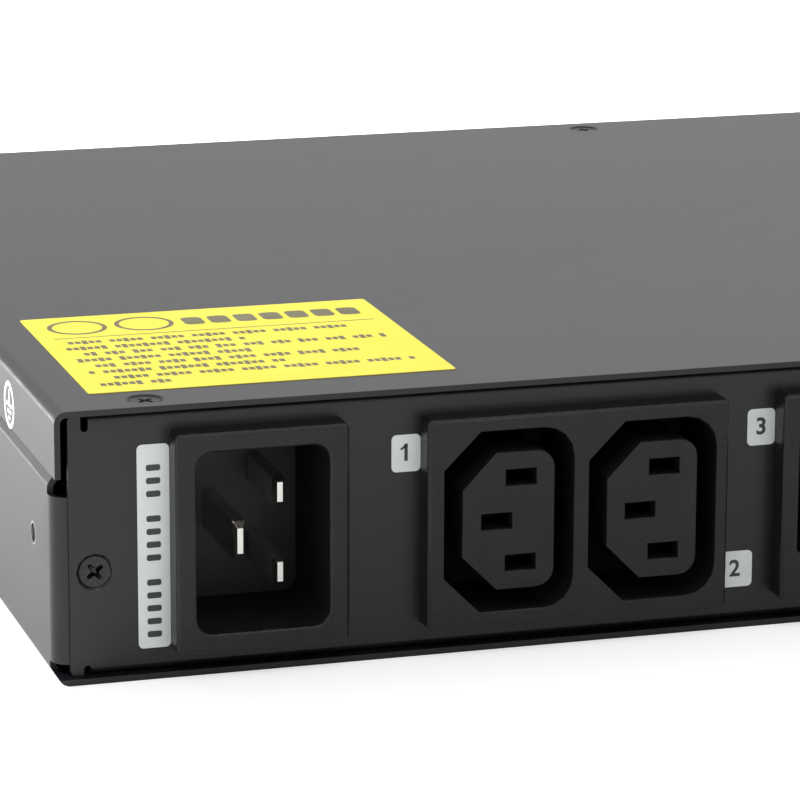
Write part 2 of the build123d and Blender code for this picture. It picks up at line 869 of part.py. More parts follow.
def ring_entry(index):
    """The mouth of a ring terminal's barrel and the direction that the lead comes from."""
    toward_x, toward_y = ring_directions[index]
    reach = ring_barrel_start + ring_barrel_length
    level = ring_levels[index] + ring_barrel_radius
    return Vector(stud_x + toward_x * reach, stud_y + toward_y * reach, level), Vector(toward_x, toward_y, 0)


def rounded(points):
    """The route with each corner replaced by short straight runs."""
    route = [points[0]]
    for before, here, after in zip(points, points[1:], points[2:]):
        reach = lead_corner * min((here - before).length, (after - here).length)
        enter = here - (here - before).normalized() * reach
        leave = here + (after - here).normalized() * reach
        for step in range(lead_corner_runs + 1):
            t = step / lead_corner_runs
            route.append(enter * (1 - t) ** 2 + here * (2 * t * (1 - t)) + leave * t**2)
    return route + [points[-1]]


def loop_route(pole):
    """A lead from an inlet tab round to the same pole's bus bar."""
    (inlet_tab_x, inlet_tab_z), (bar_tab_x, bar_tab_z) = inlet_tabs[pole], bar_tabs[pole]
    far = outlet_edge + lead_loop
    return [
        Vector(inlet_tab_x, inlet_lead_start, inlet_tab_z),
        Vector(inlet_tab_x, far, inlet_tab_z),
        Vector(bar_tab_x, far, bar_tab_z),
        Vector(bar_tab_x, bar_lead_start, bar_tab_z),
    ]


def earth_route(start, index):
    """A lead from a tab on the earth pole down to its ring terminal on the tray's floor."""
    mouth_point, direction = ring_entry(index)
    return [
        start,
        Vector(start.X, outlet_edge + lead_loop, start.Z),
        mouth_point + direction * lead_approach,
        mouth_point,
    ]


lead_routes = {
    "line_lead": loop_route("line"),
    "neutral_lead": loop_route("neutral"),
    "earth_lead": earth_route(Vector(inlet_tabs["earth"][0], inlet_lead_start, inlet_tabs["earth"][1]), 0),
    "bond_lead": earth_route(Vector(bar_tabs["earth"][0], bar_lead_start, bar_tabs["earth"][1]), 1),
}

for name, route in lead_routes.items():
    with BuildPart() as lead:
        with BuildLine() as lead_line:
            Polyline(*rounded(route))
        with BuildSketch(Plane(route[0], z_dir=route[1] - route[0])):
            RegularPolygon(lead_radius, lead_sides)
        sweep(path=lead_line.wires()[0], transition=Transition.RIGHT)
    lead.part.label = name
    export_step(lead.part, f"parts/{name}.step")

for finished in (
    base_tray,
    top_cover,
    outlet_panel,
    front_panel,
    rack_ear_left,
    rack_ear_right,
    cover_screws,
    panel_screws,
    ear_screws,
    side_clinch_nuts,
    inlet_housing,
    terminal_cover,
    lead_receptacles,
    earth_stud,
    ring_terminals,
    earth_washer,
    earth_nut,
):
    export_step(finished.part, f"parts/{finished.part.label}.step")
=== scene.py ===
"""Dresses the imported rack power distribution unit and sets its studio."""

import json
import logging
import math
from collections.abc import Callable
from dataclasses import dataclass, field
from enum import Enum

import bmesh
import bpy
from mathutils import Euler, Matrix, Vector

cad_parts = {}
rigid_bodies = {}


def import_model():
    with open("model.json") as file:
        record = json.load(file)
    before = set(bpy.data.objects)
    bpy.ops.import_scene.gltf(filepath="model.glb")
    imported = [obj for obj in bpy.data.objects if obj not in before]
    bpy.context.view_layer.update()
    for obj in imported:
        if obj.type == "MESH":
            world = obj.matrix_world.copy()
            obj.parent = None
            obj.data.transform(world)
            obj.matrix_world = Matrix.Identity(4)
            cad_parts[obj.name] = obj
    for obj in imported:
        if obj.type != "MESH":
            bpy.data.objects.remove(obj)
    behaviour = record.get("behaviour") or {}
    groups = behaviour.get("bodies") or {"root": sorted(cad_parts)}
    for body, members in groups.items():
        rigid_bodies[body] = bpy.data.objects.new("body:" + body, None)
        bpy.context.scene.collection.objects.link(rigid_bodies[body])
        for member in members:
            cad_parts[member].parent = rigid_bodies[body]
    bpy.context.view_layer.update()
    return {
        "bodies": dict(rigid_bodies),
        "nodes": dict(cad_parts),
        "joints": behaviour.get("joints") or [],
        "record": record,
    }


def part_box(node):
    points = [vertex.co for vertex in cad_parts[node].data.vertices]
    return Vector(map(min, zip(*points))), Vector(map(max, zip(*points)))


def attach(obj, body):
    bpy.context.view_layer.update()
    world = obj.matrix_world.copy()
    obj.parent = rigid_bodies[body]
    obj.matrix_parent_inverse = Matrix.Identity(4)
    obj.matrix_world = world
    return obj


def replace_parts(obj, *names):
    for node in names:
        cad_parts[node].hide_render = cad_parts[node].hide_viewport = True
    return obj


log = logging.getLogger("rack_power_unit")

MM = 0.001
CORNER_SEGMENTS = 5
MERGE = 1e-7

# Shares of a numeral's height, and the turn of the flag on a one
NUMERAL_SHARE = 0.7
NUMERAL_BOLD = 0.035
NUMERAL_PITCH = 0.78
FLAG_LENGTH = 0.42
FLAG_WIDTH = 0.13
FLAG_SPOT = (-0.15, 0.36)
FLAG_TURN = 36

Triple = tuple[float, float, float]
Colour = Triple


class ShaderGraph:
    """A material and its node tree, wired a node at a time."""

    ramp_low = 0.3
    ramp_high = 0.7

    def __init__(self, name: str) -> None:
        """Starts a material.

        Args:
            name: The material's name.
        """
        self.material = bpy.data.materials.new(name)
        self.material.use_nodes = True
        self.nodes = self.material.node_tree.nodes
        self.links = self.material.node_tree.links
        self.shader = self.nodes["Principled BSDF"]
        self.place = self.nodes.new("ShaderNodeTexCoord").outputs["Object"]

    def constants(self, **values: float | Colour) -> None:
        """Sets the shader's own sockets.

        Args:
            **values: Socket names in lower case with underscores, and their values.
        """
        for name, value in values.items():
            socket = self.shader.inputs[name.replace("_", " ").title().replace("Ior", "IOR")]
            socket.default_value = (*value, 1.0) if isinstance(value, tuple) else value

    def noise(
        self,
        scale: float,
        detail: float = 2.0,
        stretch: Triple = (1.0, 1.0, 1.0),
    ) -> bpy.types.NodeSocket:
        """Adds a noise pattern in the object's own space.

        Args:
            scale: Blotches to the metre.
            detail: Octaves.
            stretch: Factors on the three axes.

        Returns:
            The pattern's value, from 0 to 1.
        """
        mapping = self.nodes.new("ShaderNodeMapping")
        mapping.inputs["Scale"].default_value = stretch
        self.links.new(self.place, mapping.inputs["Vector"])
        texture = self.nodes.new("ShaderNodeTexNoise")
        texture.inputs["Scale"].default_value = scale
        texture.inputs["Detail"].default_value = detail
        self.links.new(mapping.outputs["Vector"], texture.inputs["Vector"])
        return texture.outputs["Fac"]

    def between(self, source: bpy.types.NodeSocket, low: Colour, high: Colour, target: str) -> None:
        """Runs a shader socket from one colour to another with a pattern.

        Args:
            source: The pattern.
            low: The colour or grey where the pattern is dark.
            high: The colour or grey where it is light.
            target: The shader's socket.
        """
        ramp = self.nodes.new("ShaderNodeValToRGB")
        stops = ((self.ramp_low, low), (self.ramp_high, high))
        for stop, (position, colour) in zip(ramp.color_ramp.elements, stops):
            stop.position = position
            stop.color = (*colour, 1.0)
        self.links.new(source, ramp.inputs["Fac"])
        self.links.new(ramp.outputs["Color"], self.shader.inputs[target])

    def bump(self, source: bpy.types.NodeSocket, depth: float) -> None:
        """Raises the surface with a pattern.

        Args:
            source: The pattern.
            depth: Height of the pattern's full swing, in metres.
        """
        node = self.nodes.new("ShaderNodeBump")
        node.inputs["Strength"].default_value = 1.0
        node.inputs["Distance"].default_value = depth
        self.links.new(source, node.inputs["Height"])
        self.links.new(node.outputs["Normal"], self.shader.inputs["Normal"])


@dataclass(frozen=True)
class PowderCoat:
    """Black powder coat on sheet steel, with a fine orange peel."""

    name: str = "powder_coat"
    dark: Colour = (0.005, 0.0056, 0.0072)
    light: Colour = (0.0062, 0.0068, 0.0086)
    rough_low: float = 0.335
    rough_high: float = 0.345
    blotch_scale: float = 35.0
    wear_scale: float = 180.0
    peel_scale: float = 2600.0
    peel_depth: float = 3e-6

    def build(self) -> bpy.types.Material:
        """Returns the finish as a material."""
        graph = ShaderGraph(self.name)
        graph.constants(ior=1.5)
        blotches = graph.noise(self.blotch_scale, detail=4.0)
        graph.between(blotches, self.dark, self.light, "Base Color")
        wear = graph.noise(self.wear_scale, detail=3.0)
        graph.between(wear, (self.rough_low,) * 3, (self.rough_high,) * 3, "Roughness")
        graph.bump(graph.noise(self.peel_scale), self.peel_depth)
        return graph.material


@dataclass(frozen=True)
class Moulding:
    """Black thermoplastic with a spark-eroded grain."""

    name: str = "moulding"
    dark: Colour = (0.0045, 0.0045, 0.0048)
    light: Colour = (0.0075, 0.0075, 0.008)
    roughness: float = 0.34
    specular: float = 0.39
    grain_scale: float = 1700.0
    grain_depth: float = 1.1e-4
    blotch_scale: float = 300.0

    def build(self) -> bpy.types.Material:
        """Returns the finish as a material."""
        graph = ShaderGraph(self.name)
        graph.constants(ior=1.5, roughness=self.roughness, specular_ior_level=self.specular)
        blotches = graph.noise(self.blotch_scale, detail=3.0)
        graph.between(blotches, self.dark, self.light, "Base Color")
        graph.bump(graph.noise(self.grain_scale), self.grain_depth)
        return graph.material


@dataclass(frozen=True)
class PlainMetal:
    """Bare or plated metal, drawn along one axis."""

    name: str
    dark: Colour
    light: Colour
    roughness: float = 0.28
    stretch: Triple = (1.0, 1.0, 1.0)
    grain_scale: float = 2500.0
    grain_depth: float = 2e-6

    def build(self) -> bpy.types.Material:
        """Returns the finish as a material."""
        graph = ShaderGraph(self.name)
        graph.constants(metallic=1.0, roughness=self.roughness)
        grain = graph.noise(self.grain_scale, detail=3.0, stretch=self.stretch)
        graph.between(grain, self.dark, self.light, "Base Color")
        graph.bump(grain, self.grain_depth)
        return graph.material


@dataclass(frozen=True)
class PlainCoat:
    """Paper, ink or insulation: a matt colour with a faint fibre."""

    name: str
    dark: Colour
    light: Colour
    roughness: float = 0.55
    specular: float = 0.5
    blotch_scale: float = 120.0
    fibre_scale: float = 2400.0
    fibre_depth: float = 3e-6

    def build(self) -> bpy.types.Material:
        """Returns the finish as a material."""
        graph = ShaderGraph(self.name)
        graph.constants(roughness=self.roughness, ior=1.45, specular_ior_level=self.specular)
        blotches = graph.noise(self.blotch_scale, detail=3.0)
        graph.between(blotches, self.dark, self.light, "Base Color")
        graph.bump(graph.noise(self.fibre_scale), self.fibre_depth)
        return graph.material


class Finish(Enum):
    """The unit's finishes, each with the slot of the record that it belongs to."""

    CASE = ("case_paint", PowderCoat())
    MOULDING = ("moulding", Moulding())
    # Painted shade: a copy of the moulding with its reflection turned down, for the recesses' walls
    # and the outlets' recess floors
    HOLLOW = (
        "moulding",
        Moulding(
            name="moulding_painted_shade",
            dark=(0.0075,) * 3,
            light=(0.01,) * 3,
            roughness=0.55,
            specular=0.08,
            grain_scale=2600.0,
            grain_depth=6e-6,
        ),
    )
    # Painted light: a lighter copy of the moulding for the back wall of the inlet's recess
    CAVITY = (
        "moulding",
        Moulding(
            name="moulding_painted_light",
            dark=(0.012,) * 3,
            light=(0.016,) * 3,
            roughness=0.45,
            specular=0.35,
            grain_scale=2600.0,
            grain_depth=8e-6,
        ),
    )
    SCREW = (
        "screw_steel",
        PlainMetal("black_zinc", (0.035, 0.036, 0.038), (0.06, 0.061, 0.063), 0.38),
    )
    PLATED = ("plated_steel", PlainMetal("zinc_plate", (0.52, 0.52, 0.5), (0.68, 0.67, 0.64), 0.32))
    # Painted shade: a dark copy of the pins' nickel for their upward bevels, in place of the
    # reflection they would catch
    PIN_BEVEL = (
        "plated_pin",
        PlainMetal("nickel_painted_shade", (0.05, 0.045, 0.04), (0.16, 0.15, 0.14), 0.45),
    )
    PIN = (
        "plated_pin",
        PlainMetal(
            name="nickel_plate",
            dark=(0.7, 0.68, 0.64),
            light=(0.84, 0.82, 0.78),
            roughness=0.24,
            stretch=(1.0, 0.12, 1.0),
        ),
    )
    BRASS = ("contact_brass", PlainMetal("brass", (0.66, 0.45, 0.2), (0.8, 0.58, 0.3), 0.3))
    SLEEVE = (
        "receptacle_sleeve",
        PlainCoat("clear_sleeve", (0.6, 0.59, 0.55), (0.7, 0.69, 0.65), 0.35),
    )
    SHEET = ("insulation_sheet", PlainCoat("fish_paper", (0.62, 0.62, 0.58), (0.72, 0.72, 0.67)))
    LINE = (
        "line_insulation",
        PlainCoat("brown_wire", (0.11, 0.045, 0.018), (0.14, 0.06, 0.025), 0.35),
    )
    NEUTRAL = (
        "neutral_insulation",
        PlainCoat("blue_wire", (0.02, 0.09, 0.42), (0.03, 0.12, 0.5), 0.35),
    )
    EARTH = (
        "earth_insulation",
        PlainCoat("green_wire", (0.08, 0.3, 0.03), (0.1, 0.36, 0.04), 0.35),
    )
    STICKER = (
        "case_paint",
        PlainCoat(
            name="yellow_vinyl",
            dark=(0.72, 0.62, 0.075),
            light=(0.75, 0.65, 0.09),
            roughness=0.5,
            specular=0.08,
        ),
    )
    STICKER_INK = (
        "case_paint",
        PlainCoat(
            name="sticker_ink",
            dark=(0.13, 0.12, 0.07),
            light=(0.17, 0.155, 0.09),
            roughness=0.5,
            specular=0.2,
        ),
    )
    TAG = ("case_paint", PlainCoat("tag_paper", (0.66, 0.7, 0.68), (0.72, 0.76, 0.74), 0.5))
    TAG_INK = ("case_paint", PlainCoat("tag_ink", (0.035, 0.037, 0.038), (0.05, 0.052, 0.053), 0.5))
    MARK = ("case_paint", PlainCoat("mark_ink", (0.78, 0.78, 0.75), (0.86, 0.86, 0.83), 0.4))


class Workshop:
    """Makes finishes once and puts finished pieces into the scene.

    Angles are in degrees and distances in metres.
    """

    smooth_under = 30.0
    sharp_over = 32.0
    flat_under = 0.5
    weld = 2e-6
    corner_slack = 0.5 * MM
    rounding_segments = 3

    def __init__(self, frame: dict) -> None:
        """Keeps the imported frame.
        """
        self.nodes: dict[str, bpy.types.Object] = frame["nodes"]
        self.materials = {finish: finish.value[1].build() for finish in Finish}

    def keep(self, form: bmesh.types.BMesh, name: str, *finishes: Finish) -> bpy.types.Object:
        """Turns a finished form into an object that rides on the unit.

        Args:
            form: The form, in place, which is freed.
            name: The piece's name.
            *finishes: Its finishes, in the order of the faces' material numbers.

        Returns:
            The piece.
        """
        mesh = bpy.data.meshes.new(name)
        form.to_mesh(mesh)
        form.free()
        for finish in finishes:
            mesh.materials.append(self.materials[finish])
        mesh.shade_smooth()
        mesh.set_sharp_from_angle(angle=math.radians(self.smooth_under))
        piece = bpy.data.objects.new(name, mesh)
        bpy.context.scene.collection.objects.link(piece)
        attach(piece, "root")
        log.info("%s: %d faces", name, len(mesh.polygons))
        return piece

    def dress(self, record: dict) -> None:
        """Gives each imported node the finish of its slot.

        Args:
            record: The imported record.
        """
        shown = [finish for finish in reversed(Finish) if finish is not Finish.PIN_BEVEL]
        by_slot = {finish.value[0]: finish for finish in shown}
        for subpart in record["subparts"]:
            node = self.nodes[subpart["node"]]
            material = self.materials[by_slot[subpart["material_slot"]]]
            if not node.material_slots:
                node.data.materials.append(material)
            for place in node.material_slots:
                place.material = material

    def merged(self, node: str) -> bmesh.types.BMesh:
        """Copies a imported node's mesh with its faces joined up.

        Args:
            node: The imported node.

        Returns:
            The copy.
        """
        form = bmesh.new()
        form.from_mesh(self.nodes[node].data)
        bmesh.ops.remove_doubles(form, verts=form.verts, dist=self.weld)
        bmesh.ops.dissolve_limit(
            form,
            angle_limit=math.radians(self.flat_under),
            verts=form.verts,
            edges=form.edges,
        )
        return form

    def islands(self, node: str) -> list[tuple[Vector, Vector]]:
        """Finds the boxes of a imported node's separate solids.

        Args:
            node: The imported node.

        Returns:
            The lowest and highest corner of each solid.
        """
        form = self.merged(node)
        waiting = set(form.verts)
        boxes = []
        while waiting:
            island = [waiting.pop()]
            for vertex in island:
                near = {edge.other_vert(vertex) for edge in vertex.link_edges} & waiting
                waiting -= near
                island.extend(near)
            axes = list(zip(*(vertex.co for vertex in island)))
            boxes.append((Vector(map(min, axes)), Vector(map(max, axes))))
        form.free()
        return sorted(boxes, key=lambda box: tuple(box[0]))

    def soften(
        self,
        form: bmesh.types.BMesh,
        node: str,
        finishes: list[Finish],
        width: float,
        reach: float,
        corner: float = 0.0,
    ) -> None:
        """Stands in for a node with a copy whose sharp edges are rounded.

        Args:
            form: The copy, which is freed.
            node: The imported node.
            finishes: The copy's finishes.
            width: Width of the rounding, in metres.
            reach: How far behind the node's foremost face edges are still rounded, in metres.
            corner: Width of the rounding on the four edges that run back from the front face.
        """
        low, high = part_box(node)
        share = form.edges.layers.float.new("bevel_weight_edge")
        for edge in form.edges:
            if not edge.is_manifold or edge.calc_face_angle() < math.radians(self.sharp_over):
                continue
            if all(vertex.co.y < low.y + reach for vertex in edge.verts):
                edge[share] = width / max(width, corner)
            elif corner and self.at_corner(edge, low, high):
                edge[share] = 1.0
        piece = self.keep(form, f"{node}_soft", *finishes)
        rounding = piece.modifiers.new("rounding", "BEVEL")
        rounding.width = max(width, corner)
        rounding.segments = self.rounding_segments
        rounding.limit_method = "WEIGHT"
        rounding.harden_normals = True
        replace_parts(piece, node)

    def at_corner(self, edge: bmesh.types.BMEdge, low: Vector, high: Vector) -> bool:
        """Tells whether an edge runs back from a corner of the node's front face.

        Args:
            edge: The edge.
            low: The node's lowest corner.
            high: Its highest corner.

        Returns:
            Whether it does.
        """
        if min(vertex.co.y for vertex in edge.verts) > low.y + self.corner_slack:
            return False
        return all(
            min(vertex.co[axis] - low[axis], high[axis] - vertex.co[axis]) < self.corner_slack
            for vertex in edge.verts
            for axis in (0, 2)
        )


class Facing(Enum):
    """The faces that carry print, as the directions of right, up and out."""

    OUTLETS = (Vector((1, 0, 0)), Vector((0, 0, 1)), Vector((0, -1, 0)))
    TOP = (Vector((1, 0, 0)), Vector((0, 1, 0)), Vector((0, 0, 1)))
    LEFT_SIDE = (Vector((0, -1, 0)), Vector((0, 0, 1)), Vector((-1, 0, 0)))
    RIGHT_SIDE = (Vector((0, 1, 0)), Vector((0, 0, 1)), Vector((1, 0, 0)))
    RACK = (Vector((-1, 0, 0)), Vector((0, 0, 1)), Vector((0, 1, 0)))

    def matrix(self, centre: Vector, turn: float = 0.0) -> Matrix:
        """Places a flat form on the face.

        Args:
            centre: The form's middle, in metres.
            turn: Turn about the outward direction, in degrees.

        Returns:
            The transform from the form's own plane to the unit.
        """
        right, up, out = self.value
        axes = Matrix((right, up, out)).transposed().to_4x4()
        return Matrix.Translation(centre) @ axes @ Matrix.Rotation(math.radians(turn), 4, "Z")


def thickened(form: bmesh.types.BMesh, thickness: float) -> bmesh.types.BMesh:
    """Gives a flat form a thickness along Z.

    Args:
        form: The form, which is changed.
        thickness: The thickness, downwards if it is negative.

    Returns:
        The same form.
    """
    grown = bmesh.ops.extrude_face_region(form, geom=list(form.faces))
    moved = [item for item in grown["geom"] if isinstance(item, bmesh.types.BMVert)]
    bmesh.ops.translate(form, vec=(0.0, 0.0, thickness), verts=moved)
    bmesh.ops.recalc_face_normals(form, faces=form.faces)
    return form


def flat_plate(width: float, height: float, corner: float, thickness: float) -> bmesh.types.BMesh:
    """Makes a thin plate with round corners, its back in the XY plane.

    Args:
        width: Size along X.
        height: Size along Y.
        corner: Corner radius.
        thickness: Size along Z.

    Returns:
        The plate's form.
    """
    form = bmesh.new()
    bmesh.ops.create_grid(form, x_segments=1, y_segments=1, size=0.5)
    bmesh.ops.scale(form, vec=(width, height, 1.0), verts=form.verts)
    if corner > 0:
        bmesh.ops.bevel(
            form,
            geom=list(form.verts),
            offset=corner,
            segments=CORNER_SEGMENTS,
            profile=0.5,
            affect="VERTICES",
            material=-1,
        )
    return thickened(form, thickness)


def flat_ring(radius: float, share: float, sides: int, level: float) -> bmesh.types.BMesh:
    """Makes a flat ring round the origin, facing +Z.

    Args:
        radius: Outer radius.
        share: Inner radius against the outer one.
        sides: Straight runs in the ring.
        level: Height above the XY plane.

    Returns:
        The ring's form.
    """
    form = bmesh.new()
    bmesh.ops.create_circle(form, segments=sides, radius=radius)
    grown = bmesh.ops.extrude_edge_only(form, edges=list(form.edges))
    inner = [item for item in grown["geom"] if isinstance(item, bmesh.types.BMVert)]
    bmesh.ops.scale(form, vec=(share, share, 1.0), verts=inner)
    bmesh.ops.translate(form, vec=(0.0, 0.0, level), verts=form.verts)
    for face in form.faces:
        face.normal_update()
        if face.normal.z < 0:
            face.normal_flip()
    return form


def flat_text(words: str, height: float, thickness: float) -> bmesh.types.BMesh:
    """Makes plain numerals in the default font, centred in the XY plane.

    Args:
        words: The numerals.
        height: Height of a numeral.
        thickness: Size along Z.

    Returns:
        The numerals' form.
    """
    curve = bpy.data.curves.new(f"numeral_{words}", "FONT")
    curve.body = words
    curve.align_x = "CENTER"
    curve.align_y = "CENTER"
    curve.size = height / NUMERAL_SHARE
    curve.offset = NUMERAL_BOLD * height
    holder = bpy.data.objects.new(f"numeral_{words}", curve)
    mesh = bpy.data.meshes.new_from_object(holder)
    form = bmesh.new()
    form.from_mesh(mesh)
    bpy.data.objects.remove(holder)
    bpy.data.curves.remove(curve)
    bpy.data.meshes.remove(mesh)
    bmesh.ops.remove_doubles(form, verts=form.verts, dist=MERGE)
    return thickened(form, thickness)


def numerals(number: int, height: float, thickness: float) -> bmesh.types.BMesh:
    """Makes a plain number, centred in the XY plane, with a flag on each one.

    Args:
        number: The number.
        height: Height of a numeral.
        thickness: Size along Z.

    Returns:
        The number's form.
    """
    digits = []
    words = str(number)
    for index, word in enumerate(words):
        digit = flat_text(word, height, thickness)
        if word == "1":
            flag = flat_plate(FLAG_LENGTH * height, FLAG_WIDTH * height, 0.0, thickness)
            spot = Matrix.Translation((FLAG_SPOT[0] * height, FLAG_SPOT[1] * height, 0.0))
            flag.transform(spot @ Matrix.Rotation(math.radians(FLAG_TURN), 4, "Z"))
            digit = join([digit, flag])
        shift = (index - (len(words) - 1) / 2) * NUMERAL_PITCH * height
        bmesh.ops.translate(digit, vec=(shift, 0.0, 0.0), verts=digit.verts)
        digits.append(digit)
    return join(digits)


def join(forms: list[bmesh.types.BMesh]) -> bmesh.types.BMesh:
    """Puts several forms into one, and frees them.

    Args:
        forms: The forms.

    Returns:
        The joined form.
    """
    joined = bmesh.new()
    for form in forms:
        scratch = bpy.data.meshes.new("scratch")
        form.to_mesh(scratch)
        form.free()
        joined.from_mesh(scratch)
        bpy.data.meshes.remove(scratch)
    return joined


def loop(
    form: bmesh.types.BMesh,
    points: list[tuple[float, float]],
    level: float,
) -> list[bmesh.types.BMEdge]:
    """Adds a closed line through points at one height.

    Args:
        form: The form that gets it.
        points: The points on the XY plane, in order.
        level: Their height.

    Returns:
        The line's edges.
    """
    spots = [form.verts.new((x, y, level)) for x, y in points]
    return [form.edges.new((spot, spots[index - 1])) for index, spot in enumerate(spots)]


@dataclass
class Case:
    """The folded case: tray, cover, end panels and ears.

    The reach goes past the case's far end, so every cut edge is rounded.
    """

    workshop: Workshop
    sheet_rounding: float = 0.16 * MM
    reach: float = 1.0
    sheets: tuple[str, ...] = (
        "base_tray",
        "top_cover",
        "outlet_panel",
        "front_panel",
        "rack_ear_left",
        "rack_ear_right",
    )

    def build(self) -> None:
        """Rounds the sheets' cut edges."""
        for node in self.sheets:
            form = self.workshop.merged(node)
            self.workshop.soften(form, node, [Finish.CASE], self.sheet_rounding, self.reach)


@dataclass
class Mouldings:
    """The inlet and the outlet modules, with painted shade in their hollows and painted light on the
    floor of the inlet's hollow.
    """

    workshop: Workshop
    rounding: float = 0.22 * MM
    corner_rounding: float = 0.9 * MM
    reach: float = 1.0 * MM
    rim: float = 1.0 * MM
    skin: float = 0.4 * MM
    frontward: float = -0.5
    modules: int = 6

    def build(self) -> None:
        """Dresses all the mouldings."""
        self.dress("inlet_housing", Finish.CAVITY)
        for index in range(self.modules):
            self.dress(f"outlet_module_{2 * index + 1}_{2 * index + 2}", Finish.HOLLOW)

    def dress(self, node: str, hollow: Finish) -> None:
        """Rounds a moulding's front edges and paints shade on its hollows' walls and the given
        painted finish on their floors.

        Args:
            node: The moulding's node.
            hollow: The finish of its hollows' floors, painted shade in the outlets and painted light
                in the inlet.
        """
        form = self.workshop.merged(node)
        low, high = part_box(node)
        wall, floor = 1, 2
        # Faces inside the rim and behind the front skin are the recesses: walls get painted shade,
        # floors get the given painted finish
        for face in form.faces:
            spot = face.calc_center_median()
            across = low.x + self.rim < spot.x < high.x - self.rim
            upright = low.z + self.rim < spot.z < high.z - self.rim
            if across and upright and spot.y > low.y + self.skin:
                face.material_index = floor if face.normal.y < self.frontward else wall
        finishes = [Finish.MOULDING, Finish.HOLLOW, hollow]
        self.workshop.soften(form, node, finishes, self.rounding, self.reach, self.corner_rounding)


@dataclass
class Pins:
    """The inlet's pins, with painted shade on the upward bevels of their bright tips."""

    workshop: Workshop
    rounding: float = 0.06 * MM
    tip: float = 2.0 * MM
    upward: float = 0.2

    def build(self) -> None:
        """Dresses the three pins."""
        for pole in ("line", "neutral", "earth"):
            node = f"inlet_pin_{pole}"
            form = self.workshop.merged(node)
            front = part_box(node)[0].y
            # Faces near the tip that turn upwards get painted shade in place of their reflection
            for face in form.faces:
                near = face.calc_center_median().y < front + self.tip
                face.material_index = int(near and face.normal.z > self.upward)
            finishes = [Finish.PIN, Finish.PIN_BEVEL]
            self.workshop.soften(form, node, finishes, self.rounding, self.tip)


@dataclass
class Fasteners:
    """The countersunk cross-recess screws, and the rims of the threaded inserts."""

    workshop: Workshop
    head_radius: float = 2.6 * MM
    head_sides: int = 48
    lip: float = 0.12 * MM
    neck_radius: float = 1.5 * MM
    neck_level: float = -1.4 * MM
    arm_length: float = 1.55 * MM
    arm_width: float = 0.36 * MM
    arm_flare: float = 0.3 * MM
    recess_level: float = -1.1 * MM
    recess_share: float = 0.45
    turns: tuple[float, ...] = (38.0, 12.0, 61.0, 25.0)
    rim_radius: float = 1.9 * MM
    rim_share: float = 0.84
    rim_depth: float = 0.9 * MM
    rim_sunk: float = 0.03 * MM

    def build(self) -> None:
        """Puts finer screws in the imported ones' places, and rims in the side walls' open holes."""
        self.row("cover_screws", lambda low, high: (Facing.TOP, high.z))
        self.row("panel_screws", self.panel_side)
        self.insert_rims()

    def insert_rims(self) -> None:
        """Makes the inserts' rims, which fill the walls' holes up to the thread."""
        rims = []
        for low, high in self.workshop.islands("side_clinch_nuts"):
            centre = (low + high) / 2
            if centre.y > 0:
                continue
            facing = Facing.LEFT_SIDE if centre.x < 0 else Facing.RIGHT_SIDE
            centre.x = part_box("base_tray")[0 if centre.x < 0 else 1].x
            rim = flat_ring(self.rim_radius, self.rim_share, self.head_sides, 0.0)
            rim = thickened(rim, -self.rim_depth)
            bmesh.ops.translate(rim, vec=(0.0, 0.0, -self.rim_sunk), verts=rim.verts)
            rim.transform(facing.matrix(centre))
            rims.append(rim)
        self.workshop.keep(join(rims), "insert_rims", Finish.PLATED)

    @staticmethod
    def panel_side(low: Vector, high: Vector) -> tuple[Facing, float]:
        """Finds which end panel a screw is in.

        Args:
            low: The screw's lowest corner.
            high: Its highest corner.

        Returns:
            The panel's facing and the level of the head.
        """
        return (Facing.OUTLETS, low.y) if low.y < 0 else (Facing.RACK, high.y)

    def row(self, node: str, seat: Callable[[Vector, Vector], tuple[Facing, float]]) -> None:
        """Replaces the screws of one node.

        Args:
            node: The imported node.
            seat: Gives a screw's facing and the level of its head.
        """
        screws = []
        for index, (low, high) in enumerate(self.workshop.islands(node)):
            facing, level = seat(low, high)
            centre = (low + high) / 2
            centre[2 if facing is Facing.TOP else 1] = level
            screw = self.screw()
            screw.transform(facing.matrix(centre, self.turns[index % len(self.turns)]))
            screws.append(screw)
        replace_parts(self.workshop.keep(join(screws), f"{node}_fine", Finish.SCREW), node)

    def cross(self, share: float) -> list[tuple[float, float]]:
        """Draws the cross recess.

        Args:
            share: Size against the recess's mouth.

        Returns:
            The outline's points.
        """
        width, length, flare = self.arm_width, self.arm_length, self.arm_flare
        lower = [(width + flare, -width), (length - flare, -width), (length, -width / 2)]
        arm = lower + [(x, -y) for x, y in reversed(lower)]
        points = []
        for quarter in range(4):
            turn = Matrix.Rotation(math.radians(90 * quarter), 2)
            points += [tuple(share * (turn @ Vector(point))) for point in arm]
        return points

    def screw(self) -> bmesh.types.BMesh:
        """Makes one screw head, its top in the XY plane.

        Returns:
            The head's form.
        """
        form = bmesh.new()
        steps = [math.tau * side / self.head_sides for side in range(self.head_sides)]
        round_line = [(math.cos(step), math.sin(step)) for step in steps]

        def ring(radius: float, level: float) -> list[bmesh.types.BMEdge]:
            """Adds a round line."""
            return loop(form, [(radius * x, radius * y) for x, y in round_line], level)

        top = ring(self.head_radius - self.lip, 0.0)
        mouth = loop(form, self.cross(1.0), 0.0)
        bmesh.ops.triangle_fill(form, use_beauty=True, edges=top + mouth)
        shoulder = ring(self.head_radius, -self.lip)
        neck = ring(self.neck_radius, self.neck_level)
        bottom = loop(form, self.cross(self.recess_share), self.recess_level)
        for upper, lower in ((top, shoulder), (shoulder, neck), (mouth, bottom)):
            bmesh.ops.bridge_loops(form, edges=upper + lower)
        bmesh.ops.contextual_create(form, geom=bottom)
        bmesh.ops.contextual_create(form, geom=neck)
        bmesh.ops.recalc_face_normals(form, faces=form.faces)
        return form


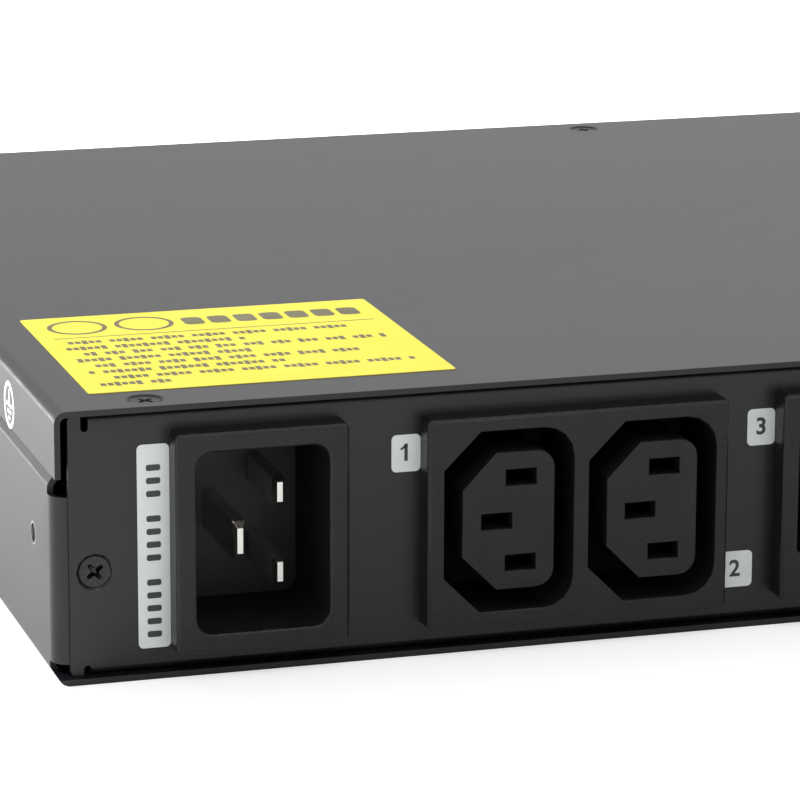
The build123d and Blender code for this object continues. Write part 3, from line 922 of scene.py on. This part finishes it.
@dataclass(frozen=True)
class TagPlan:
    """Sizes of the number tags, in metres."""

    height: float = 6.05 * MM
    corner: float = 0.8 * MM
    digit_height: float = 2.7 * MM
    odd_width: float = 4.75 * MM
    odd_level: float = 33.15 * MM
    even_width: float = 6.0 * MM
    even_level: float = 9.55 * MM
    modules: int = 6


@dataclass(frozen=True)
class LabelPlan:
    """Sizes of the inlet's upright label, in metres, and the bars in its groups."""

    width: float = 5.15 * MM
    height: float = 32.9 * MM
    corner: float = 0.8 * MM
    gap: float = 0.02 * MM
    level: float = 21.15 * MM
    groups: tuple[int, ...] = (5, 4, 3)
    first_bar: float = -14.2 * MM
    bar_width: float = 1.0 * MM
    bar_height: float = 2.3 * MM
    bar_corner: float = 0.35 * MM
    bar_pitch: float = 2.1 * MM
    bar_turn: float = 90.0
    group_gap: float = 1.9 * MM


@dataclass(frozen=True)
class StickerPlan:
    """Sizes of the yellow sticker and its print, in millimetres from its front left corner.

    A word starts word_shift letters earlier on each line, and one letter in tall_every is tall.
    """

    place: tuple[float, float] = (7.8, 10.0)
    width: float = 59.9
    length: float = 52.8
    corner: float = 0.6
    rule: tuple[float, float, float, float] = (2.5, 37.6, 54.9, 0.35)
    head_level: float = 44.6
    head_first: float = 26.0
    head_count: int = 7
    head_pitch: float = 4.5
    head_size: tuple[float, float] = (3.5, 5.2)
    head_corner: float = 1.0
    mark_level: float = 44.8
    mark_places: tuple[float, ...] = (8.0, 19.4)
    mark_radius: float = 5.0
    mark_share: float = 0.84
    mark_sides: int = 40
    first_line: float = 34.2
    line_pitch: float = 4.15
    letter_pitch: float = 1.16
    letter_width: float = 0.9
    low_letter: float = 1.7
    tall_letter: float = 2.5
    tall_step: int = 7
    tall_every: int = 3
    word_shift: int = 3
    word_lengths: tuple[int, ...] = (6, 9, 4, 7, 5, 8)
    lines: tuple[tuple[float, float], ...] = (
        (3.0, 50.5),
        (3.0, 30.5),
        (5.0, 51.5),
        (3.0, 29.0),
        (5.0, 45.0),
        (3.0, 33.0),
        (5.0, 51.5),
        (3.0, 12.0),
    )


@dataclass(frozen=True)
class MarkPlan:
    """Sizes of the ring mark on the cover's side flange, in millimetres.

    Each stroke is its middle across and up, then its size across and up.
    """

    depth: float = 34.3
    level: float = 37.0
    radius: float = 3.9
    share: float = 0.8
    sides: int = 48
    strokes: tuple[tuple[float, float, float, float], ...] = (
        (0.0, 1.3, 0.6, 2.6),
        (0.0, 0.0, 4.6, 0.6),
        (0.0, -1.1, 3.0, 0.6),
        (0.0, -2.2, 1.4, 0.6),
    )


@dataclass
class Print:
    """The tags, the inlet's label, the sticker and the ring mark."""

    workshop: Workshop
    paper: float = 0.1 * MM
    ink: float = 0.012 * MM
    tag: TagPlan = TagPlan()
    label: LabelPlan = LabelPlan()
    vinyl: StickerPlan = StickerPlan()
    mark: MarkPlan = MarkPlan()

    def build(self) -> None:
        """Makes all the print."""
        self.tags()
        self.inlet_label()
        self.sticker()
        self.ring_mark()

    def tags(self) -> None:
        """Makes a tag at each outlet: odd ones at the left of a module, even ones at its right."""
        tag = self.tag
        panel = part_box("outlet_panel")[0].y
        papers = []
        inks = []
        for index in range(tag.modules):
            odd = 2 * index + 1
            low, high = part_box(f"outlet_module_{odd}_{odd + 1}")
            for number, x, level, width in (
                (odd, low.x - tag.odd_width / 2, tag.odd_level, tag.odd_width),
                (odd + 1, high.x + tag.even_width / 2, tag.even_level, tag.even_width),
            ):
                paper = flat_plate(width, tag.height, tag.corner, self.paper)
                paper.transform(Facing.OUTLETS.matrix(Vector((x, panel, level))))
                papers.append(paper)
                digits = numerals(number, tag.digit_height, self.ink)
                digits.transform(Facing.OUTLETS.matrix(Vector((x, panel - self.paper, level))))
                inks.append(digits)
        self.workshop.keep(join(papers), "number_tags", Finish.TAG)
        self.workshop.keep(join(inks), "tag_numbers", Finish.TAG_INK)

    def inlet_label(self) -> None:
        """Makes the upright label beside the inlet, with bars in place of words."""
        label = self.label
        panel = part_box("outlet_panel")[0].y
        bezel_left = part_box("inlet_housing")[0].x
        centre = Vector((bezel_left - label.width / 2 - label.gap, panel, label.level))
        paper = flat_plate(label.width, label.height, label.corner, self.paper)
        paper.transform(Facing.OUTLETS.matrix(centre))
        self.workshop.keep(paper, "inlet_label", Finish.TAG)
        bars = []
        along = label.first_bar
        for group in label.groups:
            for _ in range(group):
                bar = flat_plate(label.bar_width, label.bar_height, label.bar_corner, self.ink)
                place = centre + Vector((0.0, -self.paper, along))
                bar.transform(Facing.OUTLETS.matrix(place, label.bar_turn))
                bars.append(bar)
                along += label.bar_pitch
            along += label.group_gap
        self.workshop.keep(join(bars), "inlet_label_print", Finish.TAG_INK)

    def sticker(self) -> None:
        """Makes the yellow sticker on the cover, with plain shapes in place of its print."""
        vinyl = self.vinyl
        low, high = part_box("top_cover")
        width, length = vinyl.width * MM, vinyl.length * MM
        corner = Vector((low.x + vinyl.place[0] * MM, low.y + vinyl.place[1] * MM, high.z))
        centre = corner + Vector((width / 2, length / 2, 0.0))
        sheet = flat_plate(width, length, vinyl.corner * MM, self.paper)
        sheet.transform(Facing.TOP.matrix(centre))
        self.workshop.keep(sheet, "cover_sticker", Finish.STICKER)
        inks = []

        def bar(x: float, y: float, size_x: float, size_y: float, radius: float = 0.0) -> None:
            """Adds a bar of ink, placed by the middle of its left end."""
            form = flat_plate(size_x * MM, size_y * MM, radius * MM, self.ink)
            spot = corner + Vector(((x + size_x / 2) * MM, y * MM, self.paper))
            form.transform(Facing.TOP.matrix(spot))
            inks.append(form)

        bar(*vinyl.rule)
        for head in range(vinyl.head_count):
            left = vinyl.head_first + vinyl.head_pitch * head
            bar(left, vinyl.head_level, *vinyl.head_size, vinyl.head_corner)
        for x in vinyl.mark_places:
            mark = flat_ring(vinyl.mark_radius * MM, vinyl.mark_share, vinyl.mark_sides, self.ink)
            spot = Vector((x * MM, vinyl.mark_level * MM, self.paper))
            mark.transform(Facing.TOP.matrix(corner + spot))
            inks.append(mark)
        for line, (indent, length) in enumerate(vinyl.lines):
            word_length = vinyl.word_lengths[line % len(vinyl.word_lengths)]
            level = vinyl.first_line - vinyl.line_pitch * line
            for letter in range(int(length / vinyl.letter_pitch)):
                if (letter + vinyl.word_shift * line) % word_length:
                    low_one = (letter * vinyl.tall_step + line) % vinyl.tall_every
                    size = vinyl.low_letter if low_one else vinyl.tall_letter
                    bar(indent + vinyl.letter_pitch * letter, level, vinyl.letter_width, size)
        self.workshop.keep(join(inks), "cover_sticker_print", Finish.STICKER_INK)

    def ring_mark(self) -> None:
        """Makes the pale ring printed on the cover's side flange."""
        plan = self.mark
        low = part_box("top_cover")[0]
        centre = Vector((low.x, low.y + plan.depth * MM, plan.level * MM))
        marks = [flat_ring(plan.radius * MM, plan.share, plan.sides, self.ink)]
        for x, y, size_x, size_y in plan.strokes:
            stroke = flat_plate(size_x * MM, size_y * MM, 0.0, self.ink)
            bmesh.ops.translate(stroke, vec=(x * MM, y * MM, 0.0), verts=stroke.verts)
            marks.append(stroke)
        mark = join(marks)
        mark.transform(Facing.LEFT_SIDE.matrix(centre))
        self.workshop.keep(mark, "ring_mark", Finish.MARK)


@dataclass(frozen=True)
class Lamp:
    """A square soft lamp: places and size in metres, power in watts."""

    name: str
    place: Vector
    target: Vector
    size: float
    power: float
    shines: bool

    def hang(self) -> None:
        """Puts the lamp into the scene, turned to its target."""
        lamp = bpy.data.lights.new(self.name, "AREA")
        lamp.size = self.size
        lamp.energy = self.power
        holder = bpy.data.objects.new(self.name, lamp)
        holder.visible_glossy = self.shines
        holder.location = self.place
        holder.rotation_euler = (self.target - self.place).to_track_quat("-Z", "Y").to_euler()
        bpy.context.scene.collection.objects.link(holder)


@dataclass
class Studio:
    """Floor, lamps, world and camera."""

    camera_place: Vector = field(default_factory=lambda: Vector((-0.34309, -0.70533, 0.19991)))
    camera_turn: Triple = (75.8956, -0.2026, -16.8427)
    lens: float = 185.97
    sensor_width: float = 36.0
    sky: float = 0.8
    sheen: float = 0.86
    floor_size: float = 6.0
    floor_colour: Colour = (0.86, 0.86, 0.86)
    floor_roughness: float = 0.9
    floor_glow: float = 0.45

    def build(self) -> None:
        """Sets the whole studio."""
        self.world()
        self.floor()
        self.lamps()
        self.camera()
        bpy.context.scene.view_settings.view_transform = "Standard"

    def world(self) -> None:
        """Makes a pale world, which is white to the camera and a little darker in gloss."""
        world = bpy.data.worlds.new("studio_world")
        bpy.context.scene.world = world
        world.use_nodes = True
        nodes, links = world.node_tree.nodes, world.node_tree.links
        background = nodes["Background"]
        background.inputs["Color"].default_value = (1.0, 1.0, 1.0, 1.0)
        rays = nodes.new("ShaderNodeLightPath")
        source = None
        for ray, strength in (("Is Glossy Ray", self.sheen), ("Is Camera Ray", 1.0)):
            mix = nodes.new("ShaderNodeMapRange")
            mix.inputs["To Min"].default_value = self.sky
            mix.inputs["To Max"].default_value = strength
            links.new(rays.outputs[ray], mix.inputs["Value"])
            if source:
                links.new(source, mix.inputs["To Min"])
            source = mix.outputs["Result"]
        links.new(source, background.inputs["Strength"])

    def floor(self) -> None:
        """Makes the pale floor, which keeps the unit's shadow."""
        form = bmesh.new()
        bmesh.ops.create_grid(form, x_segments=1, y_segments=1, size=self.floor_size / 2)
        mesh = bpy.data.meshes.new("studio_floor")
        form.to_mesh(mesh)
        form.free()
        material = bpy.data.materials.new("floor_paper")
        material.use_nodes = True
        nodes, links = material.node_tree.nodes, material.node_tree.links
        shader = nodes["Principled BSDF"]
        shader.inputs["Base Color"].default_value = (*self.floor_colour, 1.0)
        shader.inputs["Roughness"].default_value = self.floor_roughness
        rays = nodes.new("ShaderNodeLightPath")
        glow = nodes.new("ShaderNodeMapRange")
        glow.inputs["To Max"].default_value = self.floor_glow
        links.new(rays.outputs["Is Camera Ray"], glow.inputs["Value"])
        shader.inputs["Emission Color"].default_value = (1.0, 1.0, 1.0, 1.0)
        links.new(glow.outputs["Result"], shader.inputs["Emission Strength"])
        mesh.materials.append(material)
        floor = bpy.data.objects.new("studio_floor", mesh)
        bpy.context.scene.collection.objects.link(floor)

    def lamps(self) -> None:
        """Hangs a lamp over the outlets, and one behind the left side that no gloss mirrors."""
        key = Lamp(
            name="key",
            place=Vector((-0.1, -0.78, 1.2)),
            target=Vector((-0.1, -0.1, 0.0)),
            size=0.45,
            power=1.8,
            shines=True,
        )
        side = Lamp(
            name="side",
            place=Vector((-0.75, 0.75, 0.2)),
            target=Vector((-0.28, 0.12, 0.0)),
            size=0.5,
            power=46.0,
            shines=False,
        )
        key.hang()
        side.hang()

    def camera(self) -> None:
        """Sets the camera at the photograph's viewing angle."""
        camera = bpy.data.cameras.new("camera")
        camera.lens = self.lens
        camera.sensor_width = self.sensor_width
        holder = bpy.data.objects.new("camera", camera)
        holder.location = self.camera_place
        holder.rotation_euler = Euler([math.radians(angle) for angle in self.camera_turn], "XYZ")
        bpy.context.scene.collection.objects.link(holder)
        bpy.context.scene.camera = holder


def main() -> None:
    """Builds, dresses and lights the unit."""
    logging.basicConfig(level=logging.INFO, format="%(name)s %(message)s")
    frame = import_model()
    workshop = Workshop(frame)
    workshop.dress(frame["record"])
    Case(workshop).build()
    Mouldings(workshop).build()
    Pins(workshop).build()
    Fasteners(workshop).build()
    Print(workshop).build()
    Studio().build()


if __name__ == "__main__":
    main()
